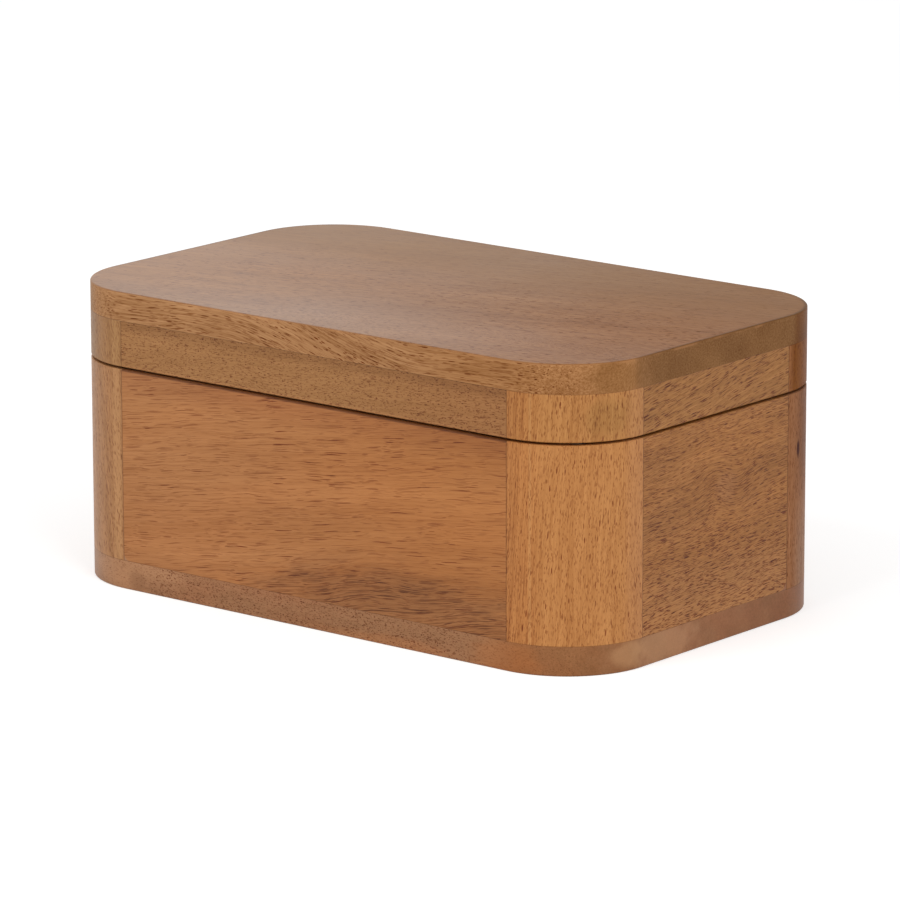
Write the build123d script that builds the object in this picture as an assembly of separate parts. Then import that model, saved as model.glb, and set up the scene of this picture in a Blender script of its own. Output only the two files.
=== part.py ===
from build123d import *
import math
import os

# Wooden storage box with a rounded outline and a deep lid that turns up on two stop hinges.
# Millimetres. X runs along the box, Y from front to back and Z up.
# The origin is the middle of the underside, and the lid is closed.

# Outside of the closed box
length = 300.0
width = 185.0
height = 135.0
corner_radius = 41.0

# Boards
wall = 13.0
base_thickness = 13.0
top_thickness = 13.0

# The saw cut between the box and its lid
lid_height = 33.8
seam_gap = 1.2

# Eased edges
top_easing = 0.8
underside_easing = 0.8
rim_easing = 0.4

# Tongues of the panels and rails, in the grooves of the corner posts and blocks
tongue_thickness = 5.0
tongue_depth = 5.0
groove_side_clearance = 0.1
groove_end_clearance = 0.5

# Splines, loose tongues between the boards and the panels or rails
spline_thickness = 4.0
spline_in_board = 7.0
spline_in_side = 7.0
spline_from_corner = 12.0
spline_side_clearance = 0.05
spline_end_clearance = 0.5

# Stop hinges, let into the two rims at the back
hinge_inset = 75.0
leaf_length = 32.0
leaf_depth = 9.5
leaf_thickness = 3.2
leaf_clearance = 0.1
middle_knuckle_length = 14.0
knuckle_radius = 2.3
knuckle_side_gap = 0.25
knuckle_end_gap = 0.15
pin_radius = 1.1
pin_behind_back = 0.6
pin_end_inset = 0.2
pin_seat_clearance = 0.01
pin_running_clearance = 0.05
tail_lip = 0.5
opening_angle = 95.0
stop_relief_angle = 0.25

# Countersunk screws of the leaves
screws_per_leaf = 2
screw_spacing = 20.0
screw_from_back = 5.6
screw_length = 11.0
screw_head_radius = 2.2
screw_shank_radius = 1.3
screw_sink = 0.1
screw_clearance = 0.06

# Buffer pads that hold the seam open at the front
pad_radius = 4.0
pad_clearance = 0.05

# Levels and places that follow from the sizes above
lid_rim = height - lid_height
box_rim = lid_rim - seam_gap
lid_inside_top = height - top_thickness
post_start_x = length / 2 - corner_radius
post_start_y = width / 2 - corner_radius
inner_corner_radius = corner_radius - wall
pin_y = width / 2 + pin_behind_back
pin_z = box_rim + seam_gap / 2
leaf_front_y = width / 2 - leaf_depth
stop_face_angle = math.radians(opening_angle / 2 + stop_relief_angle)
tail_length = (leaf_thickness + seam_gap / 2 - tail_lip) / math.tan(stop_face_angle)
outer_knuckle_length = (leaf_length - middle_knuckle_length) / 2

# The sides and corners by name, each with the direction it lies in
SIDES = {"front": (0, -1), "back": (0, 1), "left": (-1, 0), "right": (1, 0)}
CORNERS = {"front_left": (-1, -1), "front_right": (1, -1), "back_left": (-1, 1), "back_right": (1, 1)}
FRONT_CORNERS = ("front_left", "front_right")
HANDS = {"left": -1, "right": 1}


def block(x_range, y_range, z_range):
    """A plain block between two corners."""
    size = [high - low for low, high in (x_range, y_range, z_range)]
    place = Pos(x_range[0], y_range[0], z_range[0])
    return place * Box(*size, align=(Align.MIN, Align.MIN, Align.MIN))


def upright_cylinder(x, y, z_range, radius):
    """A cylinder that stands on the lower of two levels and ends at the upper one."""
    low, high = z_range
    return Pos(x, y, low) * Cylinder(radius, high - low, align=(Align.CENTER, Align.CENTER, Align.MIN))


def rounded_block(long, wide, radius, z_range):
    """A board with rounded corners, centred on the origin seen from above."""
    low, high = z_range
    return Pos(0, 0, low) * extrude(RectangleRounded(long, wide, radius), amount=high - low)


def edges_at(shape, level):
    """The edges of a shape that lie at one level."""
    return shape.edges().filter_by_position(Axis.Z, level - 0.01, level + 0.01)


def wall_ring(z_range, rim):
    """The four sides and corners in one ring, as if glued up, with the outer edge of its rim eased."""
    outside = rounded_block(length, width, corner_radius, z_range)
    inside = rounded_block(length - 2 * wall, width - 2 * wall, inner_corner_radius, z_range)
    return chamfer(edges_at(outside, rim), rim_easing) - inside


def side_zone(direction, z_range):
    """The space of one straight side, between the two corners beside it, and on past the outer face."""
    dx, dy = direction
    if dx == 0:
        across = sorted((dy * post_start_y, dy * width))
        return block((-post_start_x, post_start_x), across, z_range)
    along = sorted((dx * post_start_x, dx * length))
    return block(along, (-post_start_y, post_start_y), z_range)


def corner_zone(direction, z_range):
    """The space of one corner, from where the outline starts to turn, and on past the outer faces."""
    dx, dy = direction
    along = sorted((dx * post_start_x, dx * length))
    across = sorted((dy * post_start_y, dy * width))
    return block(along, across, z_range)


def tongue_bar(direction, z_range, side_clearance=0.0, end_clearance=0.0):
    """A bar along the middle of a side's thickness that stands out of both its ends as the tongues."""
    dx, dy = direction
    half = tongue_thickness / 2 + side_clearance
    reach = tongue_depth + end_clearance
    if dx == 0:
        middle = dy * (width - wall) / 2
        return block((-post_start_x - reach, post_start_x + reach), (middle - half, middle + half), z_range)
    middle = dx * (length - wall) / 2
    return block((middle - half, middle + half), (-post_start_y - reach, post_start_y + reach), z_range)


def side_board(ring, direction, z_range, spline_range):
    """A panel or rail with a tongue at each end and a groove for its spline."""
    piece = (ring & side_zone(direction, z_range)) + tongue_bar(direction, z_range)
    return piece - spline_groove(direction, spline_range)


def corner_piece(ring, direction, z_range):
    """A post or block, rounded outside and coved inside, with a groove for each tongue beside it."""
    dx, dy = direction
    piece = ring & corner_zone(direction, z_range)
    for side in ((dx, 0), (0, dy)):
        piece -= tongue_bar(side, z_range, groove_side_clearance, groove_end_clearance)
    return piece


def corner_middle(direction):
    """The middle of a corner's thickness, halfway round the turn."""
    dx, dy = direction
    reach = (corner_radius - wall / 2) * math.cos(math.radians(45))
    return dx * (post_start_x + reach), dy * (post_start_y + reach)


def spline(direction, z_range, side_clearance=0.0, end_clearance=0.0):
    """A loose tongue along one side, or with clearances, the groove that takes it."""
    dx, dy = direction
    low, high = z_range
    half = spline_thickness / 2 + side_clearance
    heights = (low - end_clearance, high + end_clearance)
    if dx == 0:
        reach = post_start_x - spline_from_corner + end_clearance
        middle = dy * (width - wall) / 2
        return block((-reach, reach), (middle - half, middle + half), heights)
    reach = post_start_y - spline_from_corner + end_clearance
    middle = dx * (length - wall) / 2
    return block((middle - half, middle + half), (-reach, reach), heights)


def spline_groove(direction, z_range):
    """The groove for a spline, with room on all sides."""
    return spline(direction, z_range, spline_side_clearance, spline_end_clearance)


def board(z_range, eased_level, easing, spline_range):
    """The base board or the top board, with its outer edge eased and a groove for each spline."""
    plate = rounded_block(length, width, corner_radius, z_range)
    plate = chamfer(edges_at(plate, eased_level), easing)
    for direction in SIDES.values():
        plate -= spline_groove(direction, spline_range)
    return plate


def across_barrel(x_range, radius):
    """A cylinder round the hinge's axis."""
    start, end = x_range
    turned = Pos(start, pin_y, pin_z) * Rot(0, 90, 0)
    return turned * Cylinder(radius, end - start, align=(Align.CENTER, Align.CENTER, Align.MIN))


def hinge_span(hand):
    """Where a hinge's leaves start and end along the box."""
    middle = hand * (length / 2 - hinge_inset)
    return middle - leaf_length / 2, middle + leaf_length / 2


def leaf_blank(hand, up):
    """A leaf before its knuckles. up is 1 for the leaf in the lid and -1 for the leaf in the box.
    Behind the pin the leaf ends in a sloping stop face, which meets the other leaf's when the lid is open."""
    start, end = hinge_span(hand)
    face = pin_z + up * seam_gap / 2
    seat = face + up * leaf_thickness
    tail_y = pin_y + tail_length
    stop_start_y = pin_y + seam_gap / 2 / math.tan(stop_face_angle)
    outline = Polygon(
        (leaf_front_y, seat),
        (tail_y, seat),
        (tail_y, seat - up * tail_lip),
        (stop_start_y, face),
        (leaf_front_y, face),
        align=None,
    )
    return Pos(start, 0, 0) * extrude(Plane.YZ * outline, amount=end - start, dir=(1, 0, 0))


def box_leaf(hand):
    """The leaf in the box, with the two outer knuckles, in which the pin sits fast."""
    start, end = hinge_span(hand)
    first_end = start + outer_knuckle_length
    last_start = end - outer_knuckle_length
    leaf = leaf_blank(hand, -1)
    leaf -= across_barrel((first_end, last_start), knuckle_radius + knuckle_side_gap)
    leaf += across_barrel((start, first_end), knuckle_radius)
    leaf += across_barrel((last_start, end), knuckle_radius)
    leaf -= across_barrel((start, end), pin_radius + pin_seat_clearance)
    for hole in screw_places(hand, -1):
        leaf -= hole * screw_hole()
    return leaf


def lid_leaf(hand):
    """The leaf in the lid, with the middle knuckle, which turns on the pin."""
    start, end = hinge_span(hand)
    knuckle_start = start + outer_knuckle_length + knuckle_end_gap
    knuckle_end = end - outer_knuckle_length - knuckle_end_gap
    leaf = leaf_blank(hand, 1)
    leaf -= across_barrel((start, knuckle_start), knuckle_radius + knuckle_side_gap)
    leaf -= across_barrel((knuckle_end, end), knuckle_radius + knuckle_side_gap)
    leaf += across_barrel((knuckle_start, knuckle_end), knuckle_radius)
    leaf -= across_barrel((knuckle_start, knuckle_end), pin_radius + pin_running_clearance)
    for hole in screw_places(hand, 1):
        leaf -= hole * screw_hole()
    return leaf


def hinge_pin(hand):
    """The pin through all three knuckles of a hinge."""
    start, end = hinge_span(hand)
    return across_barrel((start + pin_end_inset, end - pin_end_inset), pin_radius)


def leaf_mortise(hand, up):
    """The recess in a rim that a leaf lies in, open at the back."""
    start, end = hinge_span(hand)
    seat = pin_z + up * (seam_gap / 2 + leaf_thickness)
    heights = sorted((pin_z, seat))
    along = (start - leaf_clearance, end + leaf_clearance)
    return block(along, (leaf_front_y - leaf_clearance, width), heights)


def screw_places(hand, up):
    """Where the screws of one leaf go, each as a place whose Z axis points out of the wood."""
    start, end = hinge_span(hand)
    y = width / 2 - screw_from_back
    z = pin_z + up * (seam_gap / 2 + screw_sink)
    turn = Rot(180, 0, 0) if up > 0 else Rot(0, 0, 0)
    first = -screw_spacing * (screws_per_leaf - 1) / 2
    middle = (start + end) / 2
    return [Pos(middle + first + i * screw_spacing, y, z) * turn for i in range(screws_per_leaf)]


def turned_profile(points):
    """A solid of revolution about Z, from half its outline as pairs of radius and height."""
    return revolve(Plane.XZ * Polygon(*points, align=None), axis=Axis.Z)


def screw():
    """A countersunk screw, driven down, with its head's face at the origin."""
    cone = screw_head_radius - screw_shank_radius
    return turned_profile([
        (0, 0),
        (screw_head_radius, 0),
        (screw_shank_radius, -cone),
        (screw_shank_radius, -screw_length),
        (0, -screw_length),
    ])


def screw_hole():
    """The hole for a screw, through its leaf and into the wood, with a countersink up to the leaf's face."""
    cone = screw_head_radius - screw_shank_radius
    shank = screw_shank_radius + screw_clearance
    mouth = screw_head_radius + screw_clearance + screw_sink
    foot = -screw_length - screw_clearance
    return turned_profile([(0, screw_sink), (mouth, screw_sink), (shank, -cone), (shank, foot), (0, foot)])


def hinged_board(piece, up):
    """The back panel or the lid's back rail, with the mortises and screw holes of both hinges."""
    for hand in HANDS.values():
        piece -= leaf_mortise(hand, up)
        for place in screw_places(hand, up):
            piece -= place * screw_hole()
    return piece


def buffer_pad(direction):
    """A thin round pad on the rim of a front corner."""
    x, y = corner_middle(direction)
    return upright_cylinder(x, y, (box_rim, lid_rim - pad_clearance), pad_radius)


def box_pieces():
    """Every piece of the box under the lid, by name."""
    z_range = (base_thickness, box_rim)
    spline_range = (base_thickness - spline_in_board, base_thickness + spline_in_side)
    ring = wall_ring(z_range, box_rim)
    pieces = {"base_board": board((0, base_thickness), 0, underside_easing, spline_range)}
    for name, direction in SIDES.items():
        pieces[name + "_panel"] = side_board(ring, direction, z_range, spline_range)
    pieces["back_panel"] = hinged_board(pieces["back_panel"], -1)
    for name, direction in CORNERS.items():
        pieces[name + "_post"] = corner_piece(ring, direction, z_range)
    pieces["base_splines"] = [spline(direction, spline_range) for direction in SIDES.values()]
    for name, hand in HANDS.items():
        pieces[name + "_hinge_box_leaf"] = box_leaf(hand)
        pieces[name + "_hinge_pin"] = hinge_pin(hand)
    pieces["box_leaf_screws"] = leaf_screws(-1)
    pieces["buffer_pads"] = [buffer_pad(CORNERS[name]) for name in FRONT_CORNERS]
    return pieces


def lid_pieces():
    """Every piece of the lid, by name."""
    z_range = (lid_rim, lid_inside_top)
    spline_range = (lid_inside_top - spline_in_side, lid_inside_top + spline_in_board)
    ring = wall_ring(z_range, lid_rim)
    pieces = {"lid_board": board((lid_inside_top, height), height, top_easing, spline_range)}
    for name, direction in SIDES.items():
        pieces["lid_" + name + "_rail"] = side_board(ring, direction, z_range, spline_range)
    pieces["lid_back_rail"] = hinged_board(pieces["lid_back_rail"], 1)
    for name, direction in CORNERS.items():
        pieces["lid_" + name + "_block"] = corner_piece(ring, direction, z_range)
    pieces["lid_splines"] = [spline(direction, spline_range) for direction in SIDES.values()]
    for name, hand in HANDS.items():
        pieces[name + "_hinge_lid_leaf"] = lid_leaf(hand)
    pieces["lid_leaf_screws"] = leaf_screws(1)
    return pieces


def leaf_screws(up):
    """All the screws of the leaves in the box or in the lid."""
    return [place * screw() for hand in HANDS.values() for place in screw_places(hand, up)]


def write_step(name, shape):
    """Writes one piece, or a group of like pieces, to its own file."""
    group = shape if isinstance(shape, list) else [shape]
    solids = [solid for member in group for solid in member.solids()]
    export_step(solids[0] if len(solids) == 1 else Compound(solids), f"parts/{name}.step")


os.makedirs("parts", exist_ok=True)
for piece_name, piece_shape in {**box_pieces(), **lid_pieces()}.items():
    write_step(piece_name, piece_shape)
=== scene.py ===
# %% [markdown]
# # A hardwood box with a turn-up lid
# A keeper of planed, lacquered hardwood: a base board and a top board, four panels and four rounded
# corner posts between them, and a lid that is sawn off the glued-up box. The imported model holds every
# piece at its real size. This notebook gives the pieces their wood, brass and felt, rounds over the
# boards, cuts real screws, and sets up the light and the camera.

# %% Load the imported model
import math
import bmesh
import bpy
from mathutils import Matrix, Vector


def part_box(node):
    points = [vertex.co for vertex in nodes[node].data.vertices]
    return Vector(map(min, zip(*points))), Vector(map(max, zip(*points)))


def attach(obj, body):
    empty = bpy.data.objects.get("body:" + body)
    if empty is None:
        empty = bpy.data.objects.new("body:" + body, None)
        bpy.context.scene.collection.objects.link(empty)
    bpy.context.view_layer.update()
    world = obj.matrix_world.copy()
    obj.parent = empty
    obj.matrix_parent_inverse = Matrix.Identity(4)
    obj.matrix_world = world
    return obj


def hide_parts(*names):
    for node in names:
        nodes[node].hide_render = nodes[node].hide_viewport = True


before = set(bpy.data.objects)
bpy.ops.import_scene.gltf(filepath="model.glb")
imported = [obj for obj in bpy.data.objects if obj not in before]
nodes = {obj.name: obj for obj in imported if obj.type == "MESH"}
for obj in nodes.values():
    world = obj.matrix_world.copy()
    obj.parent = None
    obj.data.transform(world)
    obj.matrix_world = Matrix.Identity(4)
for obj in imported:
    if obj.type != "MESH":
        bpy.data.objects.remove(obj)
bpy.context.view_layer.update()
print("pieces in the packed model:", len(nodes))

# %% [markdown]
# The finishes are worked out in millimetres. The sizes that they need, such as the level of the saw cut,
# are read from the pieces themselves, so they follow when the model is packed again with another size.

# %% Sizes read from the pieces
MM = 0.001


def corners_mm(node):
    """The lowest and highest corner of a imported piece, in millimetres."""
    low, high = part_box(node)
    return low / MM, high / MM


base_top = corners_mm("base_board")[1].z
lid_rim = corners_mm("lid_front_right_block")[0].z
post_low, post_high = corners_mm("front_right_post")
post_x, post_y, box_rim = post_low.x, -post_high.y, post_high.z
lid_low, lid_high = corners_mm("lid_board")
lid_inside, lid_top = lid_low.z, lid_high.z
half_length, half_width = lid_high.x, lid_high.y
print("saw cut from", round(box_rim, 2), "to", round(lid_rim, 2), "mm; posts start at", post_x, post_y)

# %% [markdown]
# The picture was taken with a long lens, from low and from the right of the front. A camera with that
# lens at that bearing makes the visible sides shorten as they do there. It is aimed by its three axes,
# which leaves room for the slight roll of the picture.

# %% Camera
def placed(name, data):
    """A new object in the scene."""
    thing = bpy.data.objects.new(name, data)
    bpy.context.scene.collection.objects.link(thing)
    return thing


CAMERA_AZIMUTH = math.radians(39.327)
CAMERA_ELEVATION = math.radians(13.409)
CAMERA_ROLL = math.radians(-0.084)
CAMERA_DISTANCE = 2.6644
CAMERA_TARGET = Vector((0.0027, 0.0, 0.0631))
CAMERA_LENS = 240.6
SENSOR_WIDTH = 36.0
CAMERA_REACH = 50.0


def make_camera():
    """The product picture's camera."""
    data = bpy.data.cameras.new("camera")
    data.lens = CAMERA_LENS
    data.sensor_width = SENSOR_WIDTH
    data.clip_end = CAMERA_REACH
    camera = placed("camera", data)
    turn, lift = CAMERA_AZIMUTH, CAMERA_ELEVATION
    back = Vector((math.sin(turn) * math.cos(lift), -math.cos(turn) * math.cos(lift), math.sin(lift)))
    level_right = Vector((0, 0, 1)).cross(back).normalized()
    level_up = back.cross(level_right)
    right = level_right * math.cos(CAMERA_ROLL) + level_up * math.sin(CAMERA_ROLL)
    up = level_up * math.cos(CAMERA_ROLL) - level_right * math.sin(CAMERA_ROLL)
    axes = Matrix((right, up, back)).transposed().to_4x4()
    camera.matrix_world = Matrix.Translation(CAMERA_TARGET + back * CAMERA_DISTANCE) @ axes
    bpy.context.scene.camera = camera
    return camera


camera = make_camera()
bpy.context.scene.view_settings.view_transform = "Standard"
print("camera at", [round(value, 3) for value in camera.location])

# %% [markdown]
# A `Wire` stands for one output socket of a node. Python's own operators on wires add Math nodes, so a
# mask can be written as plain arithmetic.

# %% Wire
def both_ways(operation):
    """The methods of an operator, with the wire on its left and, reflected, on its right."""
    return (
        lambda wire, other: wire.math(operation, wire, other),
        lambda wire, other: wire.math(operation, other, wire),
    )


class Wire:
    """One output socket of a node."""

    def __init__(self, graph, socket):
        self.graph = graph
        self.socket = socket

    def also(self, name):
        """Another output of the same node."""
        return Wire(self.graph, self.socket.node.outputs[name])

    def math(self, operation, first, second=0.0):
        """One Math node on two numbers or wires."""
        return self.graph.node("ShaderNodeMath", {0: first, 1: second}, operation=operation)

    __add__, __radd__ = both_ways("ADD")
    __sub__, __rsub__ = both_ways("SUBTRACT")
    __mul__, __rmul__ = both_ways("MULTIPLY")
    __truediv__, __rtruediv__ = both_ways("DIVIDE")

    def __abs__(self):
        return self.math("ABSOLUTE", self)

    def over(self, floor):
        """The value, or the floor where it is lower."""
        return self.math("MAXIMUM", self, floor)

    def clamp(self):
        """The value, kept between 0 and 1."""
        return self.graph.node("ShaderNodeClamp", {"Value": self})

    def smooth(self, start, end):
        """0 up to start, 1 from end on, and an even curve between."""
        sockets = {"Value": self, "From Min": start, "From Max": end}
        return self.graph.node("ShaderNodeMapRange", sockets, interpolation_type="SMOOTHSTEP")


print("wires ready")

# %% [markdown]
# A `Graph` wraps the tree that the nodes go into, of a shader, the sky or a shape. One method makes every
# node, from its type, the values or links of its sockets, and its settings.

# %% Graph
class Graph:
    """A node tree that is written as Python calls."""

    def __init__(self, tree):
        self.tree = tree

    def node(self, kind, sockets=None, out=0, **settings):
        """Makes one node and returns the wire of its output. The last node of a tree has none."""
        made = self.tree.nodes.new(kind)
        for key, value in settings.items():
            setattr(made, key, value)
        for key, value in (sockets or {}).items():
            if isinstance(value, Wire):
                self.tree.links.new(value.socket, made.inputs[key])
            elif value is not None:
                made.inputs[key].default_value = value
        return Wire(self, made.outputs[out]) if made.outputs else None

    def vector(self, operation, first, second=None, scale=None, out="Vector"):
        """Vector maths on two vectors, or on a vector and a scale."""
        sockets = {0: first, 1: second, "Scale": scale}
        return self.node("ShaderNodeVectorMath", sockets, out, operation=operation)

    def mix(self, factor, first, second, blend="MIX"):
        """Two colours, mixed or blended."""
        sockets = {0: factor, 6: first, 7: second}
        return self.node("ShaderNodeMix", sockets, 2, data_type="RGBA", blend_type=blend)


print("graphs ready")

# %% [markdown]
# A finish is a material with an empty tree to begin with. Its patterns are worked out in millimetres from
# the Object coordinates, which stay with the piece when the lid turns. Colours are written as they look
# on a screen, from 0 to 255, and turned into linear light.

# %% Finish: the start of every material
def screen(red, green, blue):
    """A linear colour from its screen values."""
    def linear(value):
        share = value / 255
        return share / 12.92 if share <= 0.04045 else ((share + 0.055) / 1.055) ** 2.4
    return (linear(red), linear(green), linear(blue), 1.0)


class Finish(Graph):
    """The start of every material."""

    def __init__(self, name):
        self.material = bpy.data.materials.new(name)
        self.material.use_nodes = True
        super().__init__(self.material.node_tree)
        self.tree.nodes.clear()
        at = self.node("ShaderNodeTexCoord", out="Object")
        self.place = self.vector("SCALE", at, scale=1 / MM)

    def axis(self, name):
        """One coordinate of the place."""
        return self.node("ShaderNodeSeparateXYZ", {0: self.place}, "XYZ".index(name.upper()))

    def ramp(self, name, start, end):
        """0 up to a place on an axis, 1 from another place on."""
        return self.axis(name).smooth(start, end)

    def noise(self, at, sizes, detail=2.0, out="Fac"):
        """Noise whose features have the given sizes along the three axes of at."""
        scaled = self.vector("DIVIDE", at, sizes)
        return self.node("ShaderNodeTexNoise", {"Vector": scaled, "Scale": 1.0, "Detail": detail}, out)

    def shade(self, tint, colour, share):
        """The tint, multiplied by a colour where the share says so."""
        return self.mix(share, tint, self.mix(1.0, tint, colour, "MULTIPLY"))

    def bump(self, height, strength=1.0):
        """A normal from a height in millimetres."""
        sockets = {"Height": height, "Distance": MM, "Strength": strength}
        return self.node("ShaderNodeBump", sockets, "Normal")

    def surface(self, shader):
        """Ends the tree with a shader."""
        self.node("ShaderNodeOutputMaterial", {"Surface": shader})
        print(self.material.name, "with", len(self.tree.nodes), "nodes")
        return self.material


def dress(material, *names):
    """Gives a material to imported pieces."""
    for name in names:
        for slot in nodes[name].material_slots:
            slot.material = material
    print(material.name, "on", ", ".join(names))


print("middle grey is", round(screen(128, 128, 128)[0], 3), "in linear light")

# %% [markdown]
# The studio is a pale table in soft light. One broad lamp stands high at the front left, another at the
# right, and an even sky fills the shadows, so that a colour looks about as it is written. The white of
# the background takes no more light: the camera and reflections see the sky as white.

# %% Light
SKY_LEVEL = 0.55
LAMPS = {
    "key_lamp": {"place": (-0.4, -2.6, 2.2), "size": 1.8, "power": 31.0},
    "side_lamp": {"place": (2.5, -1.0, 1.6), "size": 1.6, "power": 29.0},
}


def seen_directly(graph):
    """1 for what the camera or a reflection looks at, 0 for light on the box."""
    rays = graph.node("ShaderNodeLightPath", out="Is Camera Ray")
    return (rays + rays.also("Is Glossy Ray") + rays.also("Is Transmission Ray")).clamp()


def make_sky():
    """A white surround for the eye and for reflections, and an even light for the rest."""
    world = bpy.data.worlds.new("studio")
    bpy.context.scene.world = world
    world.use_nodes = True
    graph = Graph(world.node_tree)
    world.node_tree.nodes.clear()
    level = SKY_LEVEL + seen_directly(graph) * (1 - SKY_LEVEL)
    sky = graph.node("ShaderNodeBackground", {"Color": (1, 1, 1, 1), "Strength": level})
    graph.node("ShaderNodeOutputWorld", {"Surface": sky})


def soft_lamp(name, place, size, power):
    """A square softbox that shines on the box."""
    data = bpy.data.lights.new(name, "AREA")
    data.shape = "SQUARE"
    data.size = size
    data.energy = power
    lamp = placed(name, data)
    lamp.location = place
    lamp.rotation_euler = (CAMERA_TARGET - Vector(place)).to_track_quat("-Z", "Y").to_euler()


make_sky()
for name, lamp in LAMPS.items():
    soft_lamp(name, **lamp)
print("sky at", SKY_LEVEL, "and", len(LAMPS), "soft lamps")

# %% [markdown]
# The table top is a plain pale sheet. A little light of its own, which only the eye and reflections get,
# lifts it to the white of the sky and keeps the shadow of the box.

# %% Floor
FLOOR_SIZE = 12.0
FLOOR_TONE = 0.8
FLOOR_MOTTLE = 0.02
FLOOR_LIFT = 0.47


def make_floor():
    """The pale table top, lifted to white for the camera and for reflections."""
    finish = Finish("pale_table")
    mottle = finish.noise(finish.place, (40, 40, 40))
    pale = finish.mix(mottle, (FLOOR_TONE,) * 3 + (1,), (FLOOR_TONE + FLOOR_MOTTLE,) * 3 + (1,))
    matt = finish.node("ShaderNodeBsdfDiffuse", {"Color": pale})
    sockets = {"Color": (1, 1, 1, 1), "Strength": seen_directly(finish) * FLOOR_LIFT}
    lift = finish.node("ShaderNodeEmission", sockets)
    both = finish.node("ShaderNodeAddShader", {0: matt, 1: lift})
    reach = FLOOR_SIZE / 2
    mesh = bpy.data.meshes.new("table_top")
    ends = [(-reach, -reach, 0), (reach, -reach, 0), (reach, reach, 0), (-reach, reach, 0)]
    mesh.from_pydata(ends, [], [(0, 1, 2, 3)])
    mesh.materials.append(finish.surface(both))
    table = placed("table_top", mesh)


make_floor()
print("floor", FLOOR_SIZE, "m across")

# %% [markdown]
# Wood is a bundle of fibres. Seen along them its pores are dark strokes, some millimetres long and a few
# tenths wide, and on the end grain they are dots. One pattern in three dimensions gives both. First the
# place is turned into the wood's own axes: along the grain, across it in the face, and into the depth.
# Bending those axes makes the strokes follow waves, slopes and swirls, as they do round a knot.

# %% Grain: axes, waves and swirls
AXES = {"x": Vector((1, 0, 0)), "y": Vector((0, 1, 0)), "z": Vector((0, 0, 1))}
SEED_STEP = Vector((71.3, 47.7, 29.9))


class Grain(Finish):
    """A finish with the wood's own axes."""

    def __init__(self, name, along, across, rise=0.0, seed=0):
        super().__init__(name)
        first, second = AXES[along], AXES[across]
        level = Matrix((first, second, first.cross(second)))
        self.turn = Matrix.Rotation(math.radians(-rise), 3, "Z") @ level
        self.shift = SEED_STEP * seed
        sockets = {"Vector": self.place, "Location": self.shift, "Rotation": self.turn.to_euler()}
        self.grain = self.node("ShaderNodeMapping", sockets)

    def bend(self, long, wide, amount):
        """Slow waves: the grain wanders by amount millimetres over the given lengths."""
        drift = self.noise(self.grain, (long, wide, wide), 1.0, "Color")
        middle = self.vector("SUBTRACT", drift, (0.5, 0.5, 0.5))
        push = self.vector("MULTIPLY", middle, (0, 2 * amount, 2 * amount))
        self.grain = self.vector("ADD", self.grain, push)

    def climb(self, axis, start, end, amount, toward="Y", share=1.0):
        """The grain climbs across itself by amount millimetres between two places on an axis."""
        rise = self.axis(axis).smooth(start, end) * share * -amount
        push = self.node("ShaderNodeCombineXYZ", {toward: rise})
        self.grain = self.vector("ADD", self.grain, push)

    def swirl(self, centre, radius, degrees, share=1.0):
        """The grain turns about a point, most in its middle, as round a knot."""
        away = self.vector("SUBTRACT", self.place, centre)
        reach = self.vector("LENGTH", away, out="Value") / radius
        fading = reach.math("EXPONENT", reach * reach * -1) * share
        middle = self.turn @ Vector(centre) + self.shift
        sockets = {"Vector": self.grain, "Center": middle, "Angle": fading * math.radians(degrees)}
        self.grain = self.node("ShaderNodeVectorRotate", sockets, rotation_type="Z_AXIS")


print("grain ready")

# %% [markdown]
# On those axes the colour is laid as one would stain a piece: lighter and darker streaks, slow changes of
# colour, pores, patches and the glue lines. A pore is a cell of a Voronoi pattern stretched along the
# grain, whose random colour gives it its own length and darkness. The strokes press a little into the
# surface through a Bump node.

# %% Wood: colour, pores and patches
PORE_BROWN = (166, 118, 56)
PORE_DARK = (156, 96, 34)
GLUE_BROWN = (110, 82, 66)
FIBRE_RELIEF = 0.02
SHORTEST_PORE = 0.4
PALEST_PORE = 0.2
PORE_SHARPNESS = 4
FLECK_RANGE = (0.54, 0.7)
LINE_RANGE = (0.58, 0.7)
DRIFT_RANGE = (0.35, 0.65)
PATCH_RANGE = (1.3, 0.5)
GLUE_DARKNESS = 0.5
GLUE_RANGE = (0.35, 0.105)
ARC_SOFTNESS = 0.3
GLOSS_CHANGE = 0.08
PORE_DULLNESS = 0.15
RELIEF_STRENGTH = 0.6
COAT_ROUGHNESS = 0.35


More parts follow.
